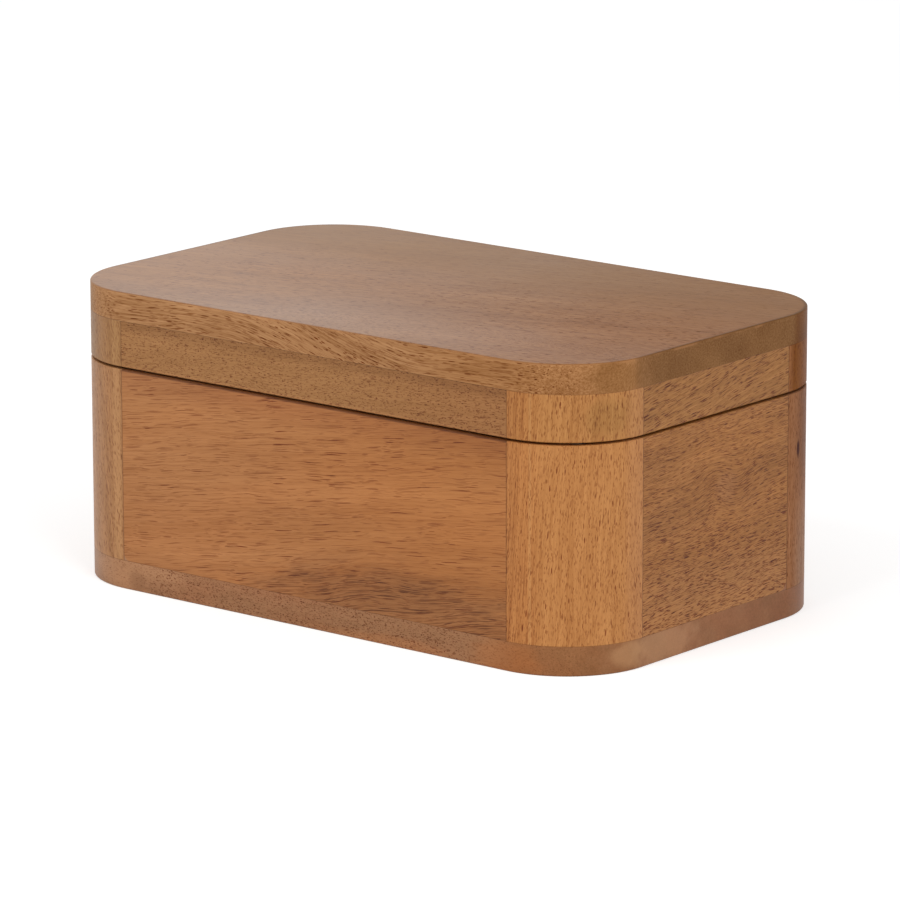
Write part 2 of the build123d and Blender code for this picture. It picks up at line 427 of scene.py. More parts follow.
class Wood(Grain):
    """Lacquered wood."""

    def streaks(self, deep, pale, *layers):
        """Lighter and darker fibres: each layer is a length, a width and a strength."""
        tone = 0.5
        for long, wide, strength in layers:
            tone = tone + (self.noise(self.grain, (long, wide, wide)) - 0.5) * (2 * strength)
        self.tint = self.mix(tone.clamp(), screen(*deep), screen(*pale))
        self.relief = tone * FIBRE_RELIEF
        self.open_pores = 0.0
        self.showing = 1.0

    def pores(self, long, thick, size, dark, colour=PORE_DARK, sink=0.05):
        """Strokes in cells of a length and thickness: the longest fill twice the size of a cell."""
        scaled = self.vector("DIVIDE", self.grain, (long, thick, thick))
        cell = self.node("ShaderNodeTexVoronoi", {"Vector": scaled, "Scale": 1.0}, "Distance")
        chance = self.node("ShaderNodeSeparateColor", {0: cell.also("Color")}, "Red")
        reach = (chance * (1 - SHORTEST_PORE) + SHORTEST_PORE) * size
        mark = ((1 - cell / reach) * PORE_SHARPNESS).clamp()
        mark = mark * (chance.also("Green") * (1 - PALEST_PORE) + PALEST_PORE) * self.showing
        self.tone(colour, mark * dark)
        self.relief = self.relief - mark * sink
        self.open_pores = mark + self.open_pores

    def flecks(self, long, thick, dark):
        """Fine broken strokes: only the dark ends of a stretched noise show."""
        mark = self.noise(self.grain, (long, thick, thick), 1.0).smooth(*FLECK_RANGE) * self.showing
        self.tone(PORE_BROWN, mark * dark)
        self.relief = self.relief - mark * FIBRE_RELIEF

    def lines(self, long, wide, colour, share):
        """Single long fibres of another colour."""
        found = self.noise(self.grain, (long, wide, wide), 0.0).smooth(*LINE_RANGE)
        self.tone(colour, found * share)

    def tone(self, colour, share):
        """Multiplies the colour, where the share says so."""
        self.tint = self.shade(self.tint, screen(*colour), share)

    def cover(self, colour, share):
        """Lays another colour over, where the share says so."""
        self.tint = self.mix(share, self.tint, screen(*colour))

    def drift(self, sizes, colour, amount):
        """A slow change of colour through the wood."""
        self.tone(colour, self.noise(self.grain, sizes, 1.0).smooth(*DRIFT_RANGE) * amount)

    def patch(self, centre, sizes, ragged=0.5):
        """The share of a spot with a ragged outline."""
        away = self.vector("DIVIDE", self.vector("SUBTRACT", self.place, centre), sizes)
        edge = (self.noise(self.grain, (25, 6, 6)) - 0.5) * (2 * ragged)
        return (self.vector("LENGTH", away, out="Value") + edge).smooth(*PATCH_RANGE)

    def band(self, axis, at, width, soft=0.5):
        """The share of a straight stripe across an axis."""
        return abs(self.axis(axis) - at).smooth(width, width * (1 - soft))

    def glue(self, axis, at):
        """The thin dark line of wavering width where another piece is met."""
        waver = self.noise(self.place, (6, 6, 6)) * 0.7 + 0.65
        share = (abs(self.axis(axis) - at) / waver).smooth(*GLUE_RANGE)
        self.tone(GLUE_BROWN, share * GLUE_DARKNESS)

    def joints(self, axis, edge, *levels):
        """The glue lines at both ends of a piece, and along it at some levels."""
        self.glue(axis, -edge)
        self.glue(axis, edge)
        for level in levels:
            self.glue("z", level)

    def rounded_off(self, axis, at, level, radius, colour):
        """Covers the lower corner of a panel outside an arc, where its neighbours reach over it."""
        beside = (radius - abs(self.axis(axis) - at)).over(0)
        below = (radius + level - self.axis("z")).over(0)
        limits = ((radius - ARC_SOFTNESS) ** 2, (radius + ARC_SOFTNESS) ** 2)
        self.cover(colour, (beside * beside + below * below).smooth(*limits))

    def lacquer(self, roughness=0.42, shine=0.22, coat=None):
        """Ends the wood with a satin clear finish, and a polished coat over it where one is given."""
        gloss = self.noise(self.place, (18, 18, 18)) * GLOSS_CHANGE + (roughness - GLOSS_CHANGE / 2)
        dull = (gloss + self.open_pores * PORE_DULLNESS).clamp()
        normal = self.bump(self.relief, RELIEF_STRENGTH)
        sockets = {"Base Color": self.tint, "Roughness": dull, "Normal": normal}
        sockets["Specular IOR Level"] = shine
        if coat is not None:
            sockets["Coat Weight"] = coat.clamp()
            sockets["Coat Roughness"] = COAT_ROUGHNESS
        return self.surface(self.node("ShaderNodeBsdfPrincipled", sockets))


print("wood ready")

# %% [markdown]
# Each visible piece is another plank, so each gets its own recipe from the same steps. The front panel is
# salmon brown with long thin strokes that waver a little, and it turns more orange to the right: a painted
# sheen that is stronger on the left. Its lower right is darker and curly, in a brown patch along the base.
# Its upper edge is a little rounded, and below the saw cut it carries painted shade.

# %% Front panel
def front_panel_wood():
    wood = Wood("front_panel_wood", "x", "z", rise=8.5, seed=1)
    low = wood.ramp("z", 45, 15)
    wood.climb("x", -10, 110, 7, share=low)
    wood.swirl((50, -half_width, 18), 24, 7)
    wood.bend(110, 34, 3)
    wood.bend(16, 6, 0.8)
    wood.streaks((166, 105, 56), (198, 136, 84), (60, 0.9, 0.5), (200, 14, 0.5))
    wood.drift((90, 26, 26), (242, 246, 250), 0.5)
    # Painted sheen: the colour turns more orange to the right, so the left looks paler and pinker.
    wood.tone((250, 241, 222), wood.ramp("x", -100, 105))
    dark = wood.patch((56, -half_width, 12), (90, 20, 23), 0.4)
    wood.tone((208, 212, 228), dark * 0.74)
    wood.lines(20, 0.5, (166, 146, 134), dark * 0.8)
    wood.pores(34, 0.8, 0.28, 1.45)
    wood.pores(8, 0.55, 0.36, dark * 0.9)
    wood.pores(17, 0.5, 0.34, dark * 0.2 + 0.8)
    wood.flecks(22, 0.34, dark * 0.3 + 0.46)
    wood.tone((240, 238, 236), wood.ramp("x", -50, -90) * wood.ramp("z", 24, 16))
    # Painted shade under the lid: a broad, faint band below the saw cut.
    wood.tone((236, 229, 226), wood.ramp("z", box_rim - 14, box_rim - 2))
    # Painted shade: a narrow darker line on the upper edge of the front face, under the saw cut.
    outer = wood.ramp("y", 1.3 - half_width, 0.4 - half_width)
    wood.tone((168, 156, 148), outer * wood.ramp("z", box_rim - 1, box_rim - 0.3))
    wood.rounded_off("x", -post_x, base_top, 4, (168, 122, 86))
    wood.joints("x", post_x, base_top)
    return wood.lacquer()


dress(front_panel_wood(), "front_panel")

# %% [markdown]
# The right panel is a cooler brown, full of short pores that climb towards the back, more steeply low at
# the front. A small pinkish swirl lies above its middle.

# %% Right panel
def right_panel_wood():
    wood = Wood("right_panel_wood", "y", "z", rise=3.5, seed=2)
    wood.climb("z", 90, 20, 4)
    wood.swirl((half_length, 7.5, 67.5), 13, 30)
    wood.bend(60, 20, 3)
    wood.bend(16, 7, 0.5)
    wood.streaks((140, 87, 35), (188, 127, 69), (16, 0.6, 0.8), (120, 14, 0.4))
    wood.drift((70, 25, 25), (236, 238, 248), 0.5)
    low = wood.ramp("z", 85, 25)
    wood.cover((176, 124, 88), wood.patch((half_length, 7.5, 67.5), (30, 8, 7)) * 0.2)
    wood.tone((247, 245, 240), wood.band("z", 55, 34, 0.8))
    wood.cover((200, 144, 92), wood.ramp("z", 46, 20) * 0.2)
    wood.pores(8.5, 0.66, 0.39, low * 0.65 + 0.86)
    wood.pores(5, 0.55, 0.42, low * 0.65 + 0.86)
    wood.flecks(4.5, 0.4, low * 0.27 + 0.81)
    wood.rounded_off("y", post_y, base_top, 5, (150, 100, 68))
    wood.joints("y", post_y, base_top)
    return wood.lacquer()


dress(right_panel_wood(), "right_panel")

# %% [markdown]
# The front rail of the lid is olive brown with fine dots: a plank cut so that its pores show short. Its
# lower edge has a painted highlight, and a faint painted shade lies along its top, under the top board.
# The right rail climbs as the panel below does.

# %% Rails of the lid that show
def lid_front_rail_wood():
    wood = Wood("lid_front_rail_wood", "x", "z", rise=4, seed=3)
    wood.bend(70, 24, 3)
    wood.streaks((146, 99, 52), (180, 129, 80), (20, 0.8, 0.5), (140, 10, 0.4))
    wood.tone((242, 234, 228), wood.ramp("x", 10, 100))
    # Painted shade along the top of the rail, under the top board.
    wood.tone((236, 232, 228), wood.ramp("z", lid_inside - 6, lid_inside - 2))
    # Painted highlight on the lower arris of the rail.
    wood.cover((200, 138, 89), wood.ramp("z", lid_rim + 1.6, lid_rim + 0.7) * 0.2)
    wood.pores(1.5, 0.62, 0.4, 1.0)
    wood.flecks(2.2, 0.42, 0.75)
    wood.joints("x", post_x, lid_inside)
    return wood.lacquer()


def lid_right_rail_wood():
    wood = Wood("lid_right_rail_wood", "y", "z", rise=10, seed=4)
    wood.bend(50, 20, 2)
    wood.streaks((130, 82, 32), (180, 124, 68), (20, 0.7, 0.8), (120, 10, 0.4))
    wood.pores(8, 0.7, 0.39, 1.35)
    wood.flecks(5, 0.4, 0.97)
    wood.joints("y", post_y, lid_inside)
    return wood.lacquer()


dress(lid_front_rail_wood(), "lid_front_rail")
dress(lid_right_rail_wood(), "lid_right_rail")

# %% [markdown]
# A corner post and the block over it are one piece of wood, sawn through with the lid. They share one
# material, and because it is solid in space the grain runs on across the cut. The near post is the
# brightest wood of the box, a golden brown.

# %% Corner posts and blocks
def post_start(name, seed, deep, pale, rise=1.5):
    """The colour and the fibres of a post."""
    wood = Wood(name, "z", "x", rise=rise, seed=seed)
    wood.bend(90, 18, 2)
    wood.streaks(deep, pale, (50, 0.7, 0.5), (260, 2.5, 0.35), (300, 9, 0.35))
    return wood


def post_end(wood, block, shine=0.22):
    """The pores and joints of a post, and the tint of the block over it."""
    wood.tone(block, wood.ramp("z", box_rim, lid_rim))
    wood.pores(7, 1.1, 0.28, 1.0)
    wood.pores(2.6, 0.75, 0.4, 0.65, PORE_BROWN)
    wood.flecks(3, 0.42, 0.55)
    wood.joints("x", post_x)
    wood.joints("y", post_y, base_top, lid_inside)
    return wood.lacquer(shine=shine)


def near_post_wood():
    """The near post: fine lines on its left, a pale fibre beside them, a pinkish strip on its right."""
    wood = post_start("front_right_post_wood", 5, (168, 107, 53), (208, 146, 86), 4)
    left = wood.ramp("x", post_x + 18, post_x + 10)
    wood.tone((248, 240, 232), left)
    wood.lines(110, 0.5, (214, 196, 180), left * 0.7)
    wood.cover((204, 148, 90), wood.band("x", post_x + 11.3, 0.8) * 0.4)
    wood.cover((186, 130, 88), wood.ramp("y", -64, -58) * 0.25)
    olive = wood.patch((post_x + 36, -post_y - 19, 112), (9, 14, 9))
    wood.tone((222, 226, 214), olive * 0.6)
    return post_end(wood, (247, 250, 248))


def far_left_post_wood():
    """The left post: pinkish brown, with a paler strip where it meets the front panel."""
    wood = post_start("front_left_post_wood", 6, (154, 105, 60), (192, 138, 90), -8)
    wood.cover((204, 154, 104), wood.band("x", -post_x - 3.5, 3) * 0.4)
    over = wood.ramp("z", box_rim, lid_rim)
    wood.tone((236, 238, 234), wood.ramp("x", -post_x - 12, -post_x - 24) * over)
    return post_end(wood, (240, 242, 232))


def far_right_post_wood():
    """The far right post: reddish brown, with painted shade and, lower down, a greyer painted sheen where
    it turns away, and a small dark knot.
    """
    wood = post_start("back_right_post_wood", 7, (134, 85, 52), (178, 124, 84))
    over = wood.ramp("z", box_rim, lid_rim)
    away = wood.ramp("y", post_y + 3, post_y + 13)
    # Painted shade on the side of the post that turns away.
    wood.tone((205, 190, 168), away * wood.ramp("z", 30, 75) * (1 - over))
    # Painted sheen: greyer and paler low on that turned-away side.
    wood.cover((156, 124, 102), away * wood.ramp("z", 60, 25) * 0.5)
    wood.tone((206, 182, 96), wood.ramp("y", post_y, post_y + 5) * over)
    knot = wood.patch((post_x + 40, post_y + 8.9, 74.5), (4, 1.5, 4), 0.2)
    wood.tone((124, 72, 46), knot)
    return post_end(wood, (252, 246, 232), 0.04)


dress(near_post_wood(), "front_right_post", "lid_front_right_block")
dress(far_left_post_wood(), "front_left_post", "lid_front_left_block")
dress(far_right_post_wood(), "back_right_post", "lid_back_right_block")
back_left = post_start("back_left_post_wood", 8, (152, 100, 52), (194, 136, 84))
dress(post_end(back_left, (250, 250, 250)), "back_left_post", "lid_back_left_block")

# %% [markdown]
# The far sides are planks of the same stock, which differ in slope, seed and shade alone.

# %% Panels and rails of the far sides
FAR_SIDES = {
    "back_panel": ("x", 0.5, 9, (150, 96, 46), (192, 132, 80)),
    "left_panel": ("y", -4, 10, (152, 98, 50), (194, 136, 84)),
    "lid_back_rail": ("x", 1, 11, (142, 92, 46), (184, 128, 78)),
    "lid_left_rail": ("y", 5, 12, (142, 94, 48), (184, 130, 80)),
}


def far_side_wood(name, along, rise, seed, deep, pale):
    wood = Wood(name + "_wood", along, "z", rise=rise, seed=seed)
    wood.bend(80, 28, 4)
    wood.bend(20, 8, 0.8)
    wood.streaks(deep, pale, (35, 0.9, 0.65), (160, 14, 0.45))
    wood.drift((90, 30, 30), (238, 246, 252), 0.5)
    wood.pores(7, 0.9, 0.32, 0.95, PORE_BROWN)
    wood.pores(3.5, 0.65, 0.36, 0.6, PORE_BROWN)
    wood.flecks(5, 0.42, 0.5)
    wood.joints(along, post_x if along == "x" else post_y, base_top, lid_inside)
    return wood.lacquer()


for name, look in FAR_SIDES.items():
    dress(far_side_wood(name, *look), name)

# %% [markdown]
# The two boards run lengthways, so their short edges and half of each corner show end grain. There the
# wood drinks more lacquer and turns dark and smooth. How far a spot of the edge faces along the grain
# follows from where it lies about the corner's centre.

# %% Boards: end grain
def end_share(wood, start, full):
    """1 where a board's edge cuts the fibres, 0 on its long edges and its faces."""
    beyond_x = (abs(wood.axis("x")) - post_x).over(0)
    beyond_y = (abs(wood.axis("y")) - post_y).over(0)
    reach = (beyond_x * beyond_x + beyond_y * beyond_y).over(0.01)
    turned = (beyond_x * beyond_x / reach).smooth(start, full)
    corner_radius = half_length - post_x
    return turned * reach.smooth((corner_radius - 2.5) ** 2, (corner_radius - 0.5) ** 2)


print("corner radius of the boards", round(half_length - post_x, 2), "mm")

# %% [markdown]
# The top board runs level over its face and climbs and falls along its front edge. Its face has been
# rubbed, and it is paler and greyer to the left. Towards the right its face is painted browner: painted
# shade where its sheen is weaker. The end grain is darkest at the far right.

# %% Top board: fibres and shades
def lid_board_colour(wood, upper, edge_on, far):
    """The fibres, and the shades of the face, the front edge and the end grain."""
    wood.climb("x", -106, -55, 3, "Z", edge_on)
    wood.climb("x", -48, 62, -24, "Z", edge_on)
    wood.climb("x", 60, 92, 2, "Z", edge_on)
    wood.swirl((0, 0, lid_top), 500, -16, upper)
    wood.bend(110, 30, 4)
    wood.bend(25, 8, 0.6)
    wood.streaks((146, 97, 55), (202, 152, 106), (40, 0.8, 0.7), (200, 16, 0.4))
    wood.drift((120, 40, 40), (242, 242, 246), 0.5)
    wood.cover((168, 119, 75), upper * (far * 0.2 + 0.3))
    wood.tone((233, 226, 216), upper)
    left = wood.ramp("x", 0, -75) * wood.ramp("y", -105, -45)
    wood.tone((255, 245, 206), left * upper)
    # Painted shade: the top face browner towards the right, where its sheen is weaker.
    wood.tone((249, 243, 236), wood.ramp("x", 10, 120) * upper)
    wood.tone((246, 240, 230), wood.ramp("x", 40, 100) * edge_on * (1 - upper))
    wood.tone((240, 249, 254), wood.ramp("y", -20, 80) * upper)
    gentle = wood.ramp("y", -57, -38) * 0.35 + 0.65
    cut = end_share(wood, 0.975, 0.999) * (1 - far) * gentle + end_share(wood, 0.1, 0.5) * far
    wood.tone((192, 187, 176), cut)
    wood.tone((222, 198, 160), wood.ramp("y", post_y + 2, post_y + 8) * cut * (1 - upper))
    wood.tone((226, 222, 210), wood.patch((post_x + 38, -post_y - 16, 128), (9, 15, 9)) * 0.9)
    wood.cover((150, 124, 94), wood.ramp("x", -126, -144) * (1 - upper) * 0.6)


print("top board's colour ready")

# %% [markdown]
# Its pores are long and thin on the front edge and faint on the face. The arris under the round-over is
# pale in places, from wear and a painted highlight, and the polish is best on the left and along the front.

# %% Top board: pores and polish
def lid_board_pores(wood, upper, edge_on, far):
    """The pores of the face, the middle of the front edge and the rest, and the arris, pale from wear and a
    painted highlight.
    """
    wood.showing = upper * (1 - far * 0.6)
    wood.pores(4.5, 1.8, 0.31, 0.9, PORE_BROWN, 0.02)
    wood.showing = wood.band("x", 12, 58) * edge_on * (1 - upper)
    wood.pores(4.5, 1.0, 0.35, 1.1)
    clean = (end_share(wood, 0.3, 0.7) * 0.85 + wood.ramp("x", -112, -124) * 0.5).clamp()
    wood.showing = (1 - clean) * (1 - upper * (far * 0.5 + 0.1))
    wood.pores(14, 0.75, 0.32, 0.85)
    wood.pores(7, 0.8, 0.37, 0.95)
    wood.flecks(8, 0.4, 0.65)
    # The pale arris under the round-over: partly wear, partly a painted highlight of the rounding.
    edge = wood.ramp("z", lid_top - 1.4, lid_top - 0.8) * (1 - upper)
    wear_and_highlight = wood.noise(wood.place, (26, 26, 26)).smooth(0.5, 0.62)
    wood.cover((192, 136, 90), edge * wear_and_highlight * 0.35)


def lid_board_wood():
    wood = Wood("lid_board_wood", "x", "y", seed=13)
    edge_on = wood.ramp("y", -48, -66)
    upper = wood.ramp("z", lid_top - 0.5, lid_top - 0.1)
    far = wood.ramp("y", 0, post_y)
    lid_board_colour(wood, upper, edge_on, far)
    lid_board_pores(wood, upper, edge_on, far)
    polish = wood.ramp("x", 130, -170) * 0.72 + 0.02
    front = wood.ramp("y", -5, -80) * wood.ramp("x", -140, -10)
    polish = polish + front * (1 - wood.ramp("x", 60, 140) * 0.5) * 0.37
    return wood.lacquer(shine=0.03, coat=polish * (1 - far * 0.3) * upper)


LID_BOARD_WOOD = lid_board_wood()

# %% [markdown]
# The base board shows its edge alone. It is short in the grain, reddish, and blotched where the lacquer
# has soaked in: paler and darker spots lie along the front, and a pale one on the near corner.

# %% Base board
def base_board_wood():
    wood = Wood("base_board_wood", "x", "y", seed=14)
    wood.bend(90, 24, 3)
    wood.streaks((136, 94, 58), (178, 128, 90), (8, 0.9, 0.4), (150, 12, 0.45))
    wood.drift((60, 20, 20), (255, 240, 232), 0.6)
    end = end_share(wood, 0.4, 0.9)
    wood.tone((238, 228, 218), end)
    wood.tone((233, 225, 217), end * wood.ramp("y", 0, 70))
    wood.cover((198, 150, 110), wood.patch((half_length, -36, 7), (8, 24, 9)) * 0.42)
    wood.tone((238, 224, 204), wood.patch((post_x + 20, -post_y - 36, 5), (26, 20, 30)) * 0.9)
    wood.cover((190, 140, 100), wood.patch((-106, -half_width, 9), (32, 30, 8)) * 0.55)
    wood.cover((190, 114, 56), wood.patch((106, -half_width, 6), (18, 20, 9)) * 0.35)
    wood.tone((206, 196, 186), wood.patch((-92, -half_width, 4), (12, 20, 4)) * 0.3)
    wood.tone((206, 196, 186), wood.patch((-101, -half_width, 5), (5, 20, 5)) * 0.45)
    wood.cover((190, 122, 70), wood.patch((40, -half_width, 1), (36, 20, 4)) * 0.3)
    wood.cover((192, 144, 102), wood.patch((post_x + 40, -post_y - 8, 7), (8, 11, 6)) * 0.55)
    near = wood.ramp("x", 82, 104) * wood.ramp("y", 0, -60)
    wood.tone((249, 248, 242), near)
    plain = near + wood.ramp("x", -84, -104)
    wood.showing = (1 - end * 0.8) * (1 - plain * 0.55)
    wood.pores(1.3, 0.7, 0.42, 1.0)
    wood.flecks(1.4, 0.5, 0.75)
    return wood.lacquer()


BASE_BOARD_WOOD = base_board_wood()

# %% [markdown]
# The loose splines are plain beech, pale and matt, with the short brown flecks of its rays. Nobody sees
# them in the glued box, but the parts are also shown one by one.

# %% Splines
def beech():
    wood = Wood("beech", "x", "y", seed=15)
    wood.streaks((196, 164, 124), (214, 186, 148), (30, 1.2, 0.4))
    wood.pores(3, 1.1, 0.3, 0.5, (190, 140, 100), 0.0)
    return wood.lacquer(0.6)


dress(beech(), "base_splines", "lid_splines")

# %% [markdown]
# The hinges are brass bar, brushed along its length. Fine scratches change the gloss, and handling has
# left the metal browner in clouds. The pins are turned, so their scratches run round them.

# %% Brass
def brass(name, bright, scratches, tarnish=0.4, roughness=0.3):
    finish = Finish(name)
    hair = finish.noise(finish.place, scratches, 3.0)
    clouds = finish.noise(finish.place, (7, 7, 7)).smooth(0.4, 0.75)
    tint = finish.mix(hair, bright, finish.mix(1.0, bright, screen(236, 232, 226), "MULTIPLY"))
    tint = finish.shade(tint, screen(214, 186, 150), clouds * tarnish)
    dull = (hair - 0.5) * 0.3 + clouds * 0.12 + roughness
    sockets = {"Base Color": tint, "Metallic": 1.0, "Roughness": dull.clamp()}
    sockets["Normal"] = finish.bump(hair * 0.02)
    return finish.surface(finish.node("ShaderNodeBsdfPrincipled", sockets))


leaf_brass = brass("brushed_brass", screen(226, 196, 138), (9, 0.12, 0.12))
pin_brass = brass("turned_brass", screen(220, 188, 128), (0.15, 3, 3), 0.2)
screw_brass = brass("turned_screw_brass", screen(222, 190, 132), (0.4, 0.4, 0.4), 0.5, 0.35)
for side in ("left", "right"):
    dress(leaf_brass, side + "_hinge_box_leaf", side + "_hinge_lid_leaf")
    dress(pin_brass, side + "_hinge_pin")

# %% [markdown]
# A Geometry Nodes tree gets the same treatment as a shader tree. Its sizes are named inputs, so one tree
# serves both boards and another all eight screws. A modifier's input is set by the socket's identifier.

# %% Geometry trees
class Shape(Graph):
    """A Geometry Nodes tree with named inputs, two of them the starting mesh and the material."""

    def __init__(self, name, inputs):
        super().__init__(bpy.data.node_groups.new(name, "GeometryNodeTree"))
        sockets = self.tree.interface
        sockets.new_socket("Geometry", in_out="OUTPUT", socket_type="NodeSocketGeometry")
        named = {"Geometry": ["Geometry"], "Material": ["Material"], **inputs}
        for kind, titles in named.items():
            for title in titles:
                sockets.new_socket(title, in_out="INPUT", socket_type="NodeSocket" + kind)
        self.given = self.node("NodeGroupInput")

    def step(self, kind, sockets=None, out=0, **settings):
        """One Geometry node."""
        return self.node("GeometryNode" + kind, sockets, out, **settings)

    def asked(self, title):
        """The wire of a named input."""
        return self.given.also(title)

    def joined(self, *parts):
        """Several geometries as one."""
        join = self.step("JoinGeometry")
        for part in parts:
            self.tree.links.new(part.socket, join.socket.node.inputs[0])
        return join

    def moved(self, part, along):
        """A geometry that is moved."""
        return self.step("Transform", {"Geometry": part, "Translation": along})

    def point(self, x=0.0, y=0.0, z=0.0):
        """A vector of three values."""
        return self.node("ShaderNodeCombineXYZ", {"X": x, "Y": y, "Z": z})

    def done(self, part):
        """Realizes the result, gives it the asked material and ends the tree."""
        real = self.step("RealizeInstances", {"Geometry": part})
        sockets = {"Geometry": real, "Material": self.asked("Material")}
        self.node("NodeGroupOutput", {0: self.step("SetMaterial", sockets)})


print("geometry trees ready")

# %% [markdown]
# One helper runs a tree on a starting mesh and keeps the result as a plain mesh, because the packed
# exports know nothing of modifiers. The other turns the faces outward, shades them, and prints how many
# edges are open, which has to be none.

# %% Pieces from trees
SHARP = math.radians(40)


def settled(piece):
    """Gives an object the plain mesh that its modifiers make, and removes them."""
    graph = bpy.context.evaluated_depsgraph_get()
    mesh = bpy.data.meshes.new_from_object(piece.evaluated_get(graph), depsgraph=graph)
    piece.modifiers.clear()
    piece.data = mesh
    return piece


def shaped(name, start, shape, values):
    """Runs a geometry tree on a starting mesh and returns a plain object with the result."""
    piece = placed(name, start)
    modifier = piece.modifiers.new("shape", "NODES")
    modifier.node_group = shape.tree
    for item in shape.tree.interface.items_tree:
        if item.in_out == "INPUT" and item.name in values:
            modifier[item.identifier] = values[item.name]
    return settled(piece)


def smoothed(piece):
    """Turns faces outward and shades them smooth, but for the sharp edges and the flat faces."""
    shell = bmesh.new()
    shell.from_mesh(piece.data)
    bmesh.ops.recalc_face_normals(shell, faces=shell.faces)
    for face in shell.faces:
        face.smooth = True
    for edge in shell.edges:
        edge.smooth = edge.is_manifold and edge.calc_face_angle(0.0) < SHARP
    gaps = sum(not edge.is_manifold for edge in shell.edges)
    volume = shell.calc_volume(signed=True) / MM ** 3
    shell.to_mesh(piece.data)
    shell.free()
    piece.modifiers.new("weigh", "WEIGHTED_NORMAL").keep_sharp = True
    settled(piece).data.name = piece.name
    print(piece.name, len(piece.data.polygons), "faces,", gaps, "open edges,", round(volume), "cubic mm")
    return piece


print("edges sharper than", round(math.degrees(SHARP)), "degrees stay sharp")

# %% [markdown]
# The boards are the two main pieces that a rule describes: a rectangle with rounded corners and one
# rounded-over edge. The tree draws the outline, carries a small profile round it and caps both sides. The
# profile is the starting mesh: up the edge, and inwards at the top. Its corner is what the tree rounds.
# The grooves are then cut with the splines themselves, grown by their clearance.

# %% Rounded boards
BOARD_INPUTS = {
    "Float": ["Length", "Width", "Corner Radius", "Round-over", "Plain Level", "Eased Level", "Clearance"],
    "Int": ["Corner Steps"],
    "Object": ["Splines"],
}
WELD = 0.00005
ROUND_OVER = 0.8
ROUND_OVER_STEPS = 5
CORNER_STEPS = 24
GROOVE_CLEARANCE = 0.1


def board_shape():
    """The tree of a board with rounded corners and one rounded-over edge."""
    shape = Shape("rounded_board", BOARD_INPUTS)
    asked = shape.asked
    length, width = asked("Length"), asked("Width")
    radius, ease = asked("Corner Radius"), asked("Round-over")

    def outline(inset):
        sockets = {"Width": length - inset * 2, "Height": width - inset * 2}
        sheet = shape.step("CurvePrimitiveQuadrilateral", sockets)
        sockets = {"Curve": sheet, "Radius": radius - inset, "Count": asked("Corner Steps")}
        return shape.step("FilletCurve", sockets, mode="POLY")

    def cap(inset, level):
        flat = shape.step("FillCurve", {"Curve": outline(inset)}, mode="NGONS")
        return shape.moved(flat, shape.point(z=level))

    profile = shape.step("MeshToCurve", {"Mesh": asked("Geometry")})
    sockets = {"Curve": profile, "Radius": ease, "Count": ROUND_OVER_STEPS, "Limit Radius": True}
    profile = shape.step("FilletCurve", sockets, mode="POLY")
    edge = shape.step("CurveToMesh", {"Curve": outline(0), "Profile Curve": profile})
    plain, eased = asked("Plain Level"), asked("Eased Level")
    whole = shape.joined(edge, cap(0, plain), cap(ease, eased))
    welded = shape.step("MergeByDistance", {"Geometry": whole, "Distance": WELD})
    splines = shape.step("ObjectInfo", {"Object": asked("Splines")}, "Geometry")
    splines = shape.step("MergeByDistance", {"Geometry": splines, "Distance": WELD})
    grown = shape.vector("SCALE", shape.step("InputNormal"), scale=asked("Clearance"))
    splines = shape.step("SetPosition", {"Geometry": splines, "Offset": grown})
    grooved = shape.step("MeshBoolean", {0: welded, 1: splines}, operation="DIFFERENCE")
    shape.done(grooved)
    return shape


BOARD = board_shape()
print("board tree with", len(BOARD.tree.nodes), "nodes")


def make_board(name, node, splines, plain, eased, material):
    """One board, between its plain and its eased level in millimetres."""
    start = bpy.data.meshes.new(name + "_profile")
    corners = [(0, -plain * MM, 0), (0, -eased * MM, 0), (-ROUND_OVER * MM, -eased * MM, 0)]
    start.from_pydata(corners, [(0, 1), (1, 2)], [])
    values = {
        "Length": 2 * half_length * MM, "Width": 2 * half_width * MM,
        "Corner Radius": (half_length - post_x) * MM, "Round-over": ROUND_OVER * MM,
        "Plain Level": plain * MM, "Eased Level": eased * MM, "Corner Steps": CORNER_STEPS,
        "Splines": nodes[splines], "Clearance": GROOVE_CLEARANCE * MM, "Material": material,
    }
    piece = smoothed(shaped(name, start, BOARD, values))
    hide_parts(node)
    return piece


top = make_board("top_board", "lid_board", "lid_splines", lid_inside, lid_top, LID_BOARD_WOOD)
bottom = make_board("bottom_board", "base_board", "base_splines", base_top, 0.0, BASE_BOARD_WOOD)
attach(top, "lid")
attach(bottom, "box")

# %% [markdown]
# Each hinge leaf is held by two slotted, countersunk brass screws, whose heads show when the lid is up.
# One tree makes a screw: the outline of half a screw is carried round a ring, as on a lathe, a slot is
# cut across the head, and a wire is wound round the core for the thread. A copy is then set on every
# point of the starting mesh, with its slot at an angle of its own.

# %% The screw's tree
SCREW_INPUTS = {
    "Float": ["Head Radius", "Shank Radius", "Length", "Slot Width", "Thread Depth", "Pitch", "Turn Over"],
    "Int": ["Seed"],
}
LATHE_STEPS = 36
COLLAR_END = 0.2
TIP_START = 0.78
THREAD_SHARE = 0.68
THREAD_END = 0.9
THREAD_STEPS = 14
WIRE_SIDES = 4
SCREW_WELD = WELD / 20


